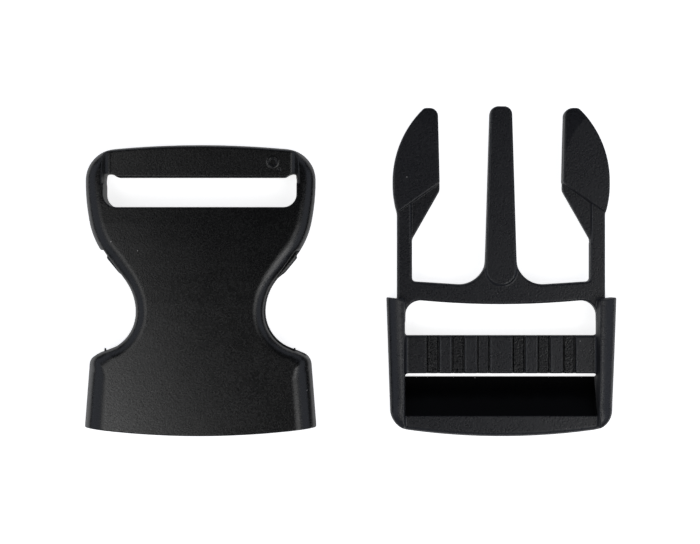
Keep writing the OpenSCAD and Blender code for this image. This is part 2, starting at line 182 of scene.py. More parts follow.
class BuckleFinish(bpy.types.PropertyGroup):
    """The plastic's colour and grain, and how finely the form is worked out."""
    socket_colour: FloatVectorProperty(
        name="Socket", description="Colour of the socket's plastic", subtype="COLOR", size=3,
        default=(0.004, 0.0041, 0.0042), min=0.0, max=1.0)
    plug_colour: FloatVectorProperty(
        name="Plug", description="Colour of the plug's plastic", subtype="COLOR", size=3,
        default=(0.010, 0.0104, 0.013), min=0.0, max=1.0)
    roughness: FloatProperty(
        name="Socket roughness", description="Roughness of the socket's grained faces", default=0.26,
        min=0.0, max=1.0)
    plug_roughness: FloatProperty(
        name="Plug roughness", description="Roughness of the plug's grained faces", default=0.3,
        min=0.0, max=1.0)
    grain: length("Grain", "Size of the grain that the mould leaves", 0.5)
    grain_high: length("Grain height", "Height of the grain", 0.01)
    mottle: FloatProperty(
        name="Mottle", description="How much the roughness varies from grain to grain", default=0.04,
        min=0.0, max=0.3)
    walls: FloatProperty(
        name="Wall roughness", description="How much rougher the upright walls are", default=0.4,
        min=0.0, max=1.0)
    flow_high: length("Flow height", "Height of the slow unevenness of the faces", 0.03)
    polished: FloatProperty(
        name="Polish", description="Roughness of the polished slope", default=0.3,
        min=0.0, max=1.0)
    ior: FloatProperty(
        name="Refraction", description="Refractive index, which sets the gloss", default=1.5,
        min=1.0, max=2.0)
    dust_count: FloatProperty(
        name="Dust", description="Cells of dust in a metre, each with a speck", default=150.0,
        min=0.0)
    dust_size: FloatProperty(
        name="Dust size", description="Size of a speck as a share of its cell", default=0.022,
        min=0.0, max=1.0)
    cube: length("Cube", "Size of the cubes in which a form is worked out", 0.2)
    triangles: IntProperty(
        name="Triangles", description="Most triangles in one half", default=190000,
        min=1000, max=200000)


class BuckleStudio(bpy.types.PropertyGroup):
    """The camera and the lights."""
    camera_high: length("Camera height", "Height of the camera above the table", 550.0)
    camera_y: FloatProperty(
        name="Camera offset", description="How far the camera stands from the middle",
        default=-0.2 * MM, unit="LENGTH", precision=5)
    focal: FloatProperty(
        name="Focal length", description="Focal length on a 36 mm wide sensor",
        default=105.01, min=20.0, max=300.0, unit="CAMERA")
    lights: FloatProperty(
        name="Lights", description="Strength of all the softboxes", default=1.0, min=0.0)
    glow: FloatProperty(
        name="Table glow", description="Light that comes up through the white table",
        default=0.8, min=0.0)
    table: FloatVectorProperty(
        name="Table", description="Colour of the table", subtype="COLOR", size=3,
        default=(0.93, 0.93, 0.93), min=0.0, max=1.0)


def in_mm(group):
    """The group's sizes as plain numbers, with every length in millimetres."""
    sizes = {}
    for key, prop in group.bl_rna.properties.items():
        if prop.type == "FLOAT" and not prop.is_array:
            value = getattr(group, key)
            sizes[key] = value / MM if prop.unit == "LENGTH" else value
        elif prop.type == "INT":
            sizes[key] = getattr(group, key)
    return SimpleNamespace(**sizes)


def unit(v):
    return v / np.linalg.norm(v)


def half_angle(rows, i):
    """Half the angle of an outline's corner."""
    here = np.array(rows[i][:2], float)
    back = unit(np.array(rows[i - 1][:2], float) - here)
    ahead = unit(np.array(rows[(i + 1) % len(rows)][:2], float) - here)
    return math.acos(max(-1.0, min(1.0, float(back @ ahead)))) / 2


def reach(rows, i):
    """How far the arc at a corner runs back along its two sides."""
    i = i % len(rows)
    return rows[i][2] / math.tan(half_angle(rows, i)) if rows[i][2] > 0 else 0.0


def side_share(rows, i):
    """A side that is too short for the arcs at both its ends shrinks them alike."""
    i = i % len(rows)
    wanted = reach(rows, i) + reach(rows, i + 1)
    side = math.dist(rows[i][:2], rows[(i + 1) % len(rows)][:2])
    return 1.0 if wanted == 0 else min(1.0, side / wanted)


def corner_arc(rows, i, chord=0.01):
    """Points of the arc that takes the place of a corner."""
    here = np.array(rows[i][:2], float)
    back = unit(np.array(rows[i - 1][:2], float) - here)
    ahead = unit(np.array(rows[(i + 1) % len(rows)][:2], float) - here)
    half = half_angle(rows, i)
    r = rows[i][2] * min(side_share(rows, i - 1), side_share(rows, i))
    centre = here + unit(back + ahead) * r / math.sin(half)
    start = here + back * r / math.tan(half) - centre
    side = math.copysign(1.0, back[0] * ahead[1] - back[1] * ahead[0])
    swept = math.pi - 2 * half
    steps = max(2, math.ceil(swept / (2 * math.acos(1 - min(1.0, chord / r)))))
    turns = [-side * swept * s / steps for s in range(steps + 1)]
    return [(centre[0] + start[0] * math.cos(a) - start[1] * math.sin(a),
             centre[1] + start[0] * math.sin(a) + start[1] * math.cos(a)) for a in turns]


def rounded(rows):
    """An outline from corners (x, y, radius); a radius of 0 is a sharp corner."""
    points = []
    for i, row in enumerate(rows):
        points += corner_arc(rows, i) if row[2] > 0 else [(row[0], row[1])]
    return points


def both_sides(rows):
    """The right half of an outline, from one end of the axis to the other, and its mirror image."""
    return list(rows) + [(-x, y, r) for x, y, r in reversed(rows) if x > 0]


def bow_radius(half, bow):
    """Radius of an arc that rises by bow over half its width."""
    return half * half / (2 * bow)


def outline_distance(outline, x, y):
    """Distance in plan from an outline, below nought inside it."""
    nearest = np.full(np.broadcast_shapes(x.shape, y.shape), 1e9, np.float32)
    inside = np.zeros(nearest.shape, bool)
    for (ax, ay), (bx, by) in zip(outline, outline[1:] + outline[:1]):
        ex, ey = bx - ax, by - ay
        square = ex * ex + ey * ey
        if square < 1e-12:
            continue
        dx, dy = x - np.float32(ax), y - np.float32(ay)
        along = np.clip((dx * ex + dy * ey) / square, 0, 1)
        nearest = np.minimum(nearest, (dx - along * ex) ** 2 + (dy - along * ey) ** 2)
        if ay != by:
            inside ^= ((ay > y) != (by > y)) & (dx < ex * dy / ey)
    return np.where(inside, -np.sqrt(nearest), np.sqrt(nearest)).astype(np.float32)


def height_along(rows, y):
    """Height of a side view's upper line at y."""
    line = np.array(rounded(rows))
    return np.interp(y.ravel(), line[:, 0], line[:, 1]).reshape(y.shape).astype(np.float32)


def eased(low, high, v):
    """Rises smoothly from 0 to 1 as v goes from low to high."""
    t = np.clip((v - low) / (high - low), 0, 1)
    return t * t * (3 - 2 * t)


def shared(a, b, r):
    """What two forms share, with the edge between them rounded."""
    return np.minimum(-r, np.maximum(a, b)) + np.hypot(np.maximum(a + r, 0), np.maximum(b + r, 0))


def joined(a, b, r):
    """Two forms joined, with a fillet between them."""
    return np.maximum(r, np.minimum(a, b)) - np.hypot(np.maximum(r - a, 0), np.maximum(r - b, 0))


def cut(a, b, r):
    """The first form without the second, with the new edge rounded."""
    return shared(a, -b, r)


def between(v, low, high):
    """A slab between two heights or distances."""
    return np.abs(v - (low + high) / 2) - (high - low) / 2


class Block:
    """A box of space in millimetres, divided into cubes, in which a form is worked out."""

    def __init__(self, low, high, cube):
        self.low = np.array(low, float)
        self.cube = cube
        axes = [np.arange(a, b + cube, cube, dtype=np.float32) for a, b in zip(low, high)]
        self.x = axes[0][:, None, None]
        self.y = axes[1][None, :, None]
        self.z = axes[2][None, None, :]

    def read(self, form, points):
        """The form's distance at points, read between the corners of its cubes."""
        place = (points - self.low) / self.cube
        place = np.clip(place, 0, np.array(form.shape) - 1.001)
        cell = place.astype(np.int64)
        part = place - cell
        flat = form.ravel()
        deep, high = form.shape[1:]
        start = (cell[:, 0] * deep + cell[:, 1]) * high + cell[:, 2]
        total = np.zeros(len(points))
        for i in (0, 1):
            for j in (0, 1):
                for k in (0, 1):
                    weight = (np.abs(1 - i - part[:, 0]) * np.abs(1 - j - part[:, 1])
                              * np.abs(1 - k - part[:, 2]))
                    total += weight * flat[start + (i * deep + j) * high + k]
        return total

    def outward(self, form, points):
        """The way straight out of the form's skin, and how fast the distance grows that way."""
        rise = np.empty((len(points), 3))
        step = 0.6 * self.cube
        for axis in range(3):
            ahead = np.zeros(3)
            ahead[axis] = step
            rise[:, axis] = self.read(form, points + ahead) - self.read(form, points - ahead)
        size = np.maximum(np.linalg.norm(rise, axis=1, keepdims=True), 1e-9)
        return rise / size, size / (2 * step)

    def skin(self, form):
        """Points and four-sided faces of the skin: one point in each cube that the skin crosses."""
        inside = form < 0
        deep, high = form.shape[1:]
        strides = (deep * high, high, 1)
        cells, spots, quads = [], [], []
        for axis in range(3):
            b, c = (axis + 1) % 3, (axis + 2) % 3
            near = [slice(None)] * 3
            far = [slice(None)] * 3
            near[axis], far[axis] = slice(0, -1), slice(1, None)
            edge = np.argwhere(inside[tuple(near)] != inside[tuple(far)])
            edge = edge[(edge[:, b] > 0) & (edge[:, c] > 0)]
            first = edge @ np.array(strides)
            start = form.ravel()[first]
            end = form.ravel()[first + strides[axis]]
            spot = edge.astype(float)
            spot[:, axis] += start / (start - end)
            ring = [first - strides[b] - strides[c], first - strides[c], first, first - strides[b]]
            for cell in ring:
                cells.append(cell)
                spots.append(spot)
            face = np.stack(ring, 1)
            face[start > 0] = face[start > 0][:, ::-1]
            quads.append(face)
        cells, spots, quads = np.concatenate(cells), np.concatenate(spots), np.concatenate(quads)
        number = np.zeros(form.size, np.int64)
        number[cells] = 1
        used = np.flatnonzero(number)
        number[used] = np.arange(len(used))
        which = number[cells]
        count = np.bincount(which)
        points = np.stack([np.bincount(which, spots[:, k]) / count for k in range(3)], 1)
        points = points * self.cube + self.low
        for _ in range(3):
            way, growth = self.outward(form, points)
            move = self.read(form, points)[:, None] / np.maximum(growth, 0.5)
            points -= way * np.clip(move, -0.5 * self.cube, 0.5 * self.cube)
        return points, number[quads]


def mesh_from(name, points, faces):
    """A mesh from arrays of points and faces, in millimetres."""
    mesh = bpy.data.meshes.new(name)
    sides = faces.shape[1]
    mesh.vertices.add(len(points))
    mesh.vertices.foreach_set("co", (points * MM).astype(np.float32).ravel())
    mesh.loops.add(faces.size)
    mesh.loops.foreach_set("vertex_index", faces.astype(np.int32).ravel())
    mesh.polygons.add(len(faces))
    mesh.polygons.foreach_set("loop_start", np.arange(0, faces.size, sides, dtype=np.int32))
    mesh.update(calc_edges=True)
    mesh.validate()
    return mesh


def moulding(name, block, form, origin, most):
    """One piece from its form, thinned to at most that many triangles and shaded by its form."""
    points, faces = block.skin(form)
    obj = bpy.data.objects.new(name, mesh_from(name, points, faces))
    bpy.context.scene.collection.objects.link(obj)
    if 2 * len(faces) > most:
        thin = obj.modifiers.new("Thin", "DECIMATE")
        thin.ratio = most / (2 * len(faces))
        thinned = bpy.data.meshes.new_from_object(
            obj.evaluated_get(bpy.context.evaluated_depsgraph_get()))
        obj.modifiers.clear()
        obj.data = thinned
    mesh = obj.data
    mesh.name = name
    shade_by_form(mesh, block, form)
    mesh.transform(Matrix.Translation(Vector(origin) * MM))
    return obj


def shade_by_form(mesh, block, form):
    """Takes each corner's normal from the form a little way in from the corner, so flats stay flat."""
    co = np.zeros(len(mesh.vertices) * 3, np.float32)
    mesh.vertices.foreach_get("co", co)
    co = co.reshape(-1, 3).astype(float) / MM
    corner = np.zeros(len(mesh.loops), np.int32)
    mesh.loops.foreach_get("vertex_index", corner)
    start = np.zeros(len(mesh.polygons), np.int32)
    mesh.polygons.foreach_get("loop_start", start)
    sides = np.diff(np.append(start, len(corner)))
    face = np.repeat(np.arange(len(start)), sides)
    middle = np.stack([np.bincount(face, co[corner, k]) for k in range(3)], 1) / sides[:, None]
    inward = middle[face] - co[corner]
    far = np.linalg.norm(inward, axis=1, keepdims=True)
    spot = co[corner] + inward / np.maximum(far, 1e-9) * np.minimum(0.5 * far, 2.2 * block.cube)
    mesh.polygons.foreach_set("use_smooth", np.ones(len(start), bool))
    mesh.normals_split_custom_set(block.outward(form, spot)[0].tolist())


def front_rise(b, x):
    """How far the front edge has bowed at a distance from the axis."""
    return b.front_bow * (x / b.mouth_half) ** 2


def bow_line(b, half, x):
    """The tangent, at a distance x, of a bow that runs out to half."""
    return front_rise(b, half) * (2 * x / half - 1)


def front_bow_row(b, half, y):
    """Corner on the axis for an edge that bows with the front edge."""
    return (0, y + bow_line(b, half, 0), bow_radius(b.mouth_half, b.front_bow))


def catch_line(b, x):
    """The slanted lower edge of a latch head, which its catch in the socket follows."""
    return b.head_y + b.head_rise * (b.arm_half - x) / (b.arm_half - b.head_inner)


def nose_radius(b):
    """Radius of the heads' outer edges, from how far they curve in at the arms' tips."""
    rise = b.arm_len - b.head_y - b.head_rise
    return (b.nose_in ** 2 + rise ** 2) / (2 * b.nose_in)


def seamed(b, side, z, lean=1.0):
    """A moulded wall: it leans away from the parting line, which stands a little proud."""
    line_half = 0.16
    off_line = z - b.body_t / 2
    line = b.seam * np.exp(-(off_line / line_half) ** 2)
    return side + lean * b.draft * np.abs(off_line) - line


# Corners of the socket's neck, from the waist on. Out: share of the way from the waist's half width to
# the end's. Up: share of the way from the shoulders to the slot. Then the radius.
NECK_CORNERS = ((0.015, 0.423, 14.2), (0.855, 0.768, 22), (1.005, 1.059, 55))


def socket_sides(b, s):
    """The socket's outline, run on past the front edge, which is cut afterwards."""
    neck = s.slot_y - s.mouth_len
    spread = s.end_half - s.waist_half
    flat = s.end_half - s.end_corner
    past = -15.0
    splay = s.mouth_taper * (b.front_bow - past) / (s.mouth_len - b.front_bow)
    return rounded(both_sides(
        [(0, past, 0), (b.mouth_half + splay, past, 0),
         (b.mouth_half - s.mouth_taper, s.mouth_len, s.shoulder_r),
         (s.waist_half, s.mouth_len + s.shoulder_fall, s.waist_r)]
        + [(s.waist_half + out * spread, s.mouth_len + up * neck, r) for out, up, r in NECK_CORNERS]
        + [(s.end_half, s.long - s.end_bow * (2 * s.end_half / flat - 1), s.end_corner),
           (0, s.long + s.end_bow, bow_radius(flat, s.end_bow))]))


def socket_top(b, s, block):
    """Height of the upper face, which falls towards the webbing end and a little to the sides."""
    fall_y = s.slot_y - 7
    fall_r = 400
    past = 20
    end_z = b.body_t - s.drop * (s.long + past - fall_y) / (s.long - fall_y)
    line = height_along([
        (-past, b.body_t, 0), (fall_y, b.body_t, fall_r), (s.long + past, end_z, 0)], block.y)
    widest = 1.8
    return line - s.dome * np.minimum(np.abs(block.x) / s.waist_half, widest) ** 2


def socket_bend(b, s, block):
    """Radius of the long upper edges, which bend less at the waist and towards the webbing end."""
    corner_x, waist_y, skew = 30, 30, 0.6
    along = block.y + skew * np.maximum(corner_x - np.abs(block.x), 0) * (block.y < waist_y)
    stations, radii = zip(
        (0, b.side_bend), (18, b.side_bend), (25, s.waist_bend), (40, s.waist_bend),
        (47, 4.2), (60, 4.0), (72, 3.2), (78, 2.8))
    bend = np.interp(along.ravel(), stations, radii)
    return bend.reshape(along.shape).astype(np.float32)


def socket_lip(b, s, block):
    """How far the lower plate peeps out under the upper one, beside the neck."""
    starts, ends, thick = (41.4, 43.4), (46.9, 47.8), 0.3
    peep = s.lip_out * eased(*starts, block.y) * (1 - eased(*ends, block.y))
    return peep * np.clip((b.body_t / 2 - b.hollow_t / 2 - block.z) / thick, 0, 1)


def socket_form(b, s, block):
    """The socket as one form, counted from the middle of the mouth's front edge."""
    x, y, z = block.x, block.y, block.z
    wide = np.abs(x)
    off_middle = z - b.body_t / 2
    side = outline_distance(socket_sides(b, s), x, y)
    wall = seamed(b, side - socket_lip(b, s, block), z)
    body = shared(wall, (z - socket_top(b, s, block)) * s.bend_flat, socket_bend(b, s, block))
    body = shared(body, -z, b.sole_bend)
    body = shared(body, front_rise(b, x) - y, b.crisp)
    room_r = 0.35
    body = cut(body, socket_hollow(b, s, block), room_r)
    run_out, play = 5, 0.3
    groove = np.maximum(between(wide, s.pad_half - 1, s.groove_half), y - b.head_y - run_out)
    groove = shared(groove, np.abs(off_middle) - b.arm_t / 2 - play, play)
    body = cut(body, groove, b.crisp)
    nub_x, nub_y, nub_z, nub_r = (24.8, 25.3), (21, 23.2), (2.8, 3.6), 0.15
    nub = np.maximum(between(wide, *nub_x), between(y, *nub_y))
    nub = np.maximum(nub, between(off_middle, *nub_z))
    body = joined(body, nub, nub_r)
    far_y, far_r = s.slot_y + s.slot_len, 0.9
    slot = outline_distance(rounded([
        (-b.slot_half, s.slot_y, s.slot_r), (b.slot_half, s.slot_y, s.slot_r),
        (b.slot_half, far_y, far_r), (-b.slot_half, far_y, far_r)]), x, y)
    body = shared(body, seamed(b, -slot, z), b.crisp)
    return socket_gate(s, block, socket_bar(b, s, block, body))


def socket_hollow(b, s, block):
    """The room between the plates: the mouth, the latch windows and the room for the arms' tips."""
    y = block.y
    wide = np.abs(block.x)
    head_mid = b.head_y + b.head_rise
    head_r = nose_radius(b)
    window_share = 0.84
    window_top = head_mid + window_share * (b.arm_len - head_mid)
    catch_slant = 0.82
    catch = (catch_line(b, wide) - s.catch_play - y) * catch_slant
    before = 5
    room = np.maximum(np.minimum(wide - s.pad_half, catch), -y - before)
    room = np.maximum(room, y - window_top)
    tip_play, overlap = 0.7, 0.5
    tips = np.hypot(wide - (b.head_half - head_r), y - head_mid) - head_r - tip_play
    tips = np.maximum(tips, np.maximum(window_top - overlap - y, y - s.hollow_len))
    room = np.minimum(room, tips)
    rib = np.maximum(between(wide, s.rib_in, s.rib_in + s.rib_t), s.rib_y - y)
    rib_r, edge_r = 0.4, 0.5
    room = cut(room, rib, rib_r)
    return shared(room, np.abs(block.z - b.body_t / 2) - b.hollow_t / 2, edge_r)


def socket_bar(b, s, block, body):
    """Sinks the bar's faces below the rails, and cuts its relief notches beside the slot."""
    x, y, z = block.x, block.y, block.z
    wide = np.abs(x)
    bar_y = s.slot_y + s.slot_len
    end_y = s.long - s.end_bow * (x / (s.end_half - s.end_corner)) ** 2
    near = np.maximum(0, y - (end_y - s.bar_round)) / s.bar_round
    fall = s.bar_round * (1 - np.sqrt(np.maximum(0, 1 - np.minimum(near, 1) ** 2)))
    fall = fall - s.bar_lean * (y - bar_y)
    play, wall_lean, wall_r = 0.05, 0.22, 1.7
    overrun, edge_r, under_r = 1.5, 0.5, 0.8
    lean = b.slot_half - play + wall_lean * np.maximum(z - s.bar_top, 0)
    above = shared(wide - lean, s.bar_top - fall - z, wall_r)
    body = cut(body, np.maximum(above, bar_y - overrun - y), edge_r)
    below = shared(wide - b.slot_half, z - s.bar_bottom, under_r)
    body = cut(body, np.maximum(below, bar_y - overrun - y), edge_r)
    left_in, right_in, slant = 22.1, 22.5, 1.3
    deep, back, notch_r, notch_edge = 1.0, 1.2, 0.7, 0.25
    inner = np.where(x < 0, left_in, right_in) + slant * (y - bar_y)
    notch = shared(inner - wide, y - bar_y - deep, notch_r)
    notch = shared(notch, wide - b.slot_half + play, notch_r)
    return cut(body, np.maximum(notch, bar_y - back - y), notch_edge)


def socket_gate(s, block, body):
    """The mark that the mould's gate leaves on the bar: a ring with a dimple, and a pit beside it."""
    x, y, z = block.x, block.y, block.z
    gate_x, gate_y, ring_in, ring_out = 19.2, 72.55, 0.95, 1.55
    ring_high, ring_r, dimple_deep, dimple_r = 0.16, 0.1, 0.35, 0.12
    around = np.hypot(x - gate_x, y - gate_y)
    ring = np.maximum(between(around, ring_in, ring_out), z - s.bar_top - ring_high)
    body = joined(body, np.maximum(ring, s.bar_top - 1 - z), ring_r)
    body = cut(body, np.maximum(around - ring_in, s.bar_top - dimple_deep - z), dimple_r)
    pit_x, pit_y, pit_up, pit_size, pit_r = 20.8, 70.45, 0.1, 0.4, 0.08
    pit = np.sqrt((x - pit_x) ** 2 + (y - pit_y) ** 2 + (z - s.bar_top - pit_up) ** 2) - pit_size
    return cut(body, pit, pit_r)


def prong_outline(b, p):
    """Plan of the crossbar and both arms: beams, webs, and latch heads with curved outer edges."""
    window_half = b.slot_half - p.window_r
    head_mid = b.head_y + b.head_rise
    head_r = nose_radius(b)
    lean = math.asin((b.arm_len - head_mid) / head_r)
    bar_y = p.bar_y + p.bar_d
    beam_in = b.arm_half - p.arm_w
    past = -p.window_r - 0.1
    web_foot = b.head_y - 6.8
    inside_tongue = (p.tongue_root - 0.5, 14, 0)
    return rounded(both_sides([
        front_bow_row(b, window_half, p.bar_y),
        (b.slot_half, p.bar_y + bow_line(b, window_half, b.slot_half), p.window_r),
        (b.slot_half, past, 0),
        (b.arm_half, past, 0),
        (b.arm_half, b.head_y, 4),
        (b.head_half, b.head_y + b.head_rise / 2, head_r),
        (b.head_half, head_mid + head_r * math.tan(lean / 2), head_r),
        (b.head_half - b.nose_in, b.arm_len, 1.6),
        (b.head_inner + 0.5, b.arm_len, 2.2),
        (b.head_inner, head_mid - 1.9, 2.5),
        (beam_in, web_foot, 2.0),
        (beam_in, bar_y + front_rise(b, beam_in), 1.0),
        (p.tongue_root, bar_y, 7.2),
        inside_tongue]))


def plug_prongs(b, p, block):
    """Crossbar and arms: each arm a beam, a thinner web and a thicker latch head with a nose."""
    wide, y, z = np.abs(block.x), block.y, block.z
    tall = np.abs(z - b.body_t / 2)
    wall = seamed(b, outline_distance(prong_outline(b, p), block.x, y), z)
    beam_in = b.arm_half - p.arm_w
    slant = math.hypot(b.head_rise, b.arm_half - b.head_inner) / (b.arm_half - b.head_inner)
    behind = (catch_line(b, wide) - y) / slant
    beam_end, beam_lean, beam_r, overlap = 7.5, 0.1, 0.55, 0.6
    not_web = np.minimum(beam_in - wide, y - b.head_y + beam_end) + beam_lean * tall
    frame_part = shared(np.maximum(wall, not_web), tall - b.arm_t / 2, beam_r)
    frame_part = np.maximum(frame_part, -behind - overlap)
    web_end, web_r = 9, 0.3
    web = np.maximum(shared(wall, tall - p.web_t / 2, web_r), b.head_y - web_end - y)
    nose_x, nose_y, nose_flat = 35.7, 35.7, 19.3
    nose = np.maximum(np.hypot(wide - nose_x, y - nose_y) - nose_flat, 0)
    edge_r, catch_lean, catch_r = 0.4, 0.06, 0.3
    head = shared(wall, tall - p.head_t / 2 + p.nose_slope * nose, edge_r)
    head = shared(head, behind + catch_lean * tall, catch_r)
    return np.minimum(np.minimum(frame_part, web), head)


def plug_tongue(b, p, block):
    """The tongue: a thicker slab with a round foot on the crossbar and a blunt tip."""
    foot_r, tip_r, lean, edge_r = p.tongue_root - 0.05, 2.2, 2.0, 0.55
    plan = outline_distance(rounded(both_sides([
        (p.tongue_root, p.bar_y + p.bar_d, foot_r),
        (p.tongue_tip, p.tongue_len, tip_r)])), block.x, block.y)
    tall = np.abs(block.z - b.body_t / 2)
    return shared(seamed(b, plan, block.z, lean), tall - p.tongue_t / 2, edge_r)


def plug_outline(p, past=0.0):
    """Plan of the adjuster's frame, up to the shoulders, or run on past them."""
    corner = p.rail_half - p.rail_taper
    arc = 0.83
    bow = p.end_bow * arc / (2 - arc)
    splay = p.rail_taper * past / p.back
    return rounded(both_sides([
        (0, -p.back - bow, bow_radius(arc * corner, bow)),
        (corner, -p.back + p.end_bow, p.end_corner),
        (p.rail_half + splay, past, 0),
        (0, past, 0)]))


def plug_rails(b, p, block, side):
    """The rails, with a wide bend along their outer sides and walls that lean back inside."""
    y, z = block.y, block.z
    fall_y, fall_r, past = 12, 280, 20
    far = -p.back - past
    top = height_along([
        (far, b.body_t - p.rail_drop * (-far - fall_y) / (p.back - fall_y), 0),
        (-fall_y, b.body_t, fall_r), (25, b.body_t, 0)], y)
    end_bend, narrow, full = 2.2, -34, -25
    bend = (end_bend + (p.rail_bend - end_bend) * eased(narrow, full, y)).astype(np.float32)
    rails = shared(shared(side, (z - top) * p.rail_flat, bend), -z, b.sole_bend)
    rails = shared(rails, y - front_rise(b, block.x), b.crisp)
    knee, edge_r = 7.5, 0.7
    inner = b.slot_half + p.rail_lean * eased(knee, b.body_t, z)
    inner = inner + p.rail_under * np.maximum(knee - z, 0) / knee
    return cut(rails, np.abs(block.x) - inner, edge_r)


def with_ladder(b, p, block, rails):
    """Joins the ladder bar to the rails, with its ridges, kerfs and grip channels."""
    wide, y, z = np.abs(block.x), block.y, block.z
    window_y = -p.window_len
    ladder_y = window_y - p.ladder_d
    high = p.ladder_z + p.ladder_t
    edge_r, into_rail, corner_r = 0.5, 1.5, 0.9
    ladder = shared(between(y, ladder_y, window_y), between(z, p.ladder_z, high), edge_r)
    body = joined(rails, np.maximum(ladder, wide - b.slot_half - into_rail), corner_r)
    ridge_from, ridge_to, ridge_high, ridge_short = 0.1, 0.5, 0.16, 0.3
    kerf_half, kerf_deep = 0.22, 0.7
    floor_z = high - p.channel_deep
    for i in range(CHANNELS):
        start = p.channel_first + i * p.channel_pitch
        strip = between(wide, start, start + p.channel_w)
        ridge = between(strip, ridge_from, ridge_to)
        ridge = np.maximum(ridge, between(z, high - 1, high + ridge_high))
        ridge = np.maximum(ridge, between(y, ladder_y + ridge_short, window_y - ridge_short))
        body = np.minimum(body, ridge)
        across = between(y, ladder_y - 1, window_y + 1)
        channel = np.maximum(np.maximum(strip, floor_z - z), across)
        kerf = np.maximum(between(strip, -kerf_half, kerf_half), floor_z - kerf_deep - z)
        body = np.maximum(body, -np.minimum(channel, np.maximum(kerf, across)))
    return body


def slope_rise(p):
    """How much the sloped plate rises for each millimetre back."""
    return (p.land_z - p.lip_z) / (p.land_y - p.lip_y)


def plug_end_bar(b, p, block):
    """The end bar: a polished slope from the lip up to the land, hollow below, with a solid heel."""
    rise = slope_rise(p)
    under = p.slope_t / math.cos(math.atan(rise))
    past = -p.back - 8
    heel_y = -p.back + p.heel_d
    profile = rounded([
        (-p.lip_y, 0, 0), (-p.lip_y, p.lip_z, 0.3), (-p.land_y, p.land_z, 0.5),
        (past, p.land_z, 0), (past, 0, 0), (heel_y, 0, 0.4),
        (heel_y, p.lip_z + rise * (-p.lip_y - heel_y) - under, 1.5),
        (-p.lip_y - (under - p.lip_z) / rise, 0, 0)])
    bar = outline_distance(profile, block.y, block.z)
    end = seamed(b, outline_distance(plug_outline(p), block.x, block.y), block.z)
    edge_r, into_rail = 1.3, 1.5
    return np.maximum(shared(bar, end, edge_r), np.abs(block.x) - b.slot_half - into_rail)


def plug_adjuster(b, p, block):
    """Rails, ladder bar and end bar, round the window and the strap's passage."""
    past_shoulders, corner_r = 15.0, 0.5
    plan = outline_distance(plug_outline(p, past_shoulders), block.x, block.y)
    side = seamed(b, plan, block.z)
    body = with_ladder(b, p, block, plug_rails(b, p, block, side))
    body = joined(body, plug_end_bar(b, p, block), corner_r)
    return np.maximum(body, np.maximum(side, -block.z))


def plug_form(b, p, block):
    """The plug as one form, counted from where the mouth's front edge meets it when pressed home."""
    tongue_r, frame_r = 0.35, 0.4
    form = joined(plug_prongs(b, p, block), plug_tongue(b, p, block), tongue_r)
    return joined(form, plug_adjuster(b, p, block), frame_r)


def new_nodes(name):
    """A material with an empty node tree."""
    material = bpy.data.materials.new(name)
    material.use_nodes = True
    material.node_tree.nodes.clear()
    return material, material.node_tree


def node(tree, kind, links=(), **values):
    """A node with its settings, socket values and incoming links by name."""
    made = tree.nodes.new(kind)
    for key, value in values.items():
        if key in made.inputs:
            made.inputs[key].default_value = value
        else:
            setattr(made, key, value)
    for key, source in links:
        tree.links.new(source, made.inputs[key])
    return made


# How far the roughness swings either way, the share by which the tone does, the colour of dust, and
# how finely a face's slow unevenness is spaced.
GLOSS_SWING = 0.012
TONE_SWING = 0.3
DUST_COLOUR = (0.3, 0.29, 0.28, 1)
FLOW_SCALE = 90.0


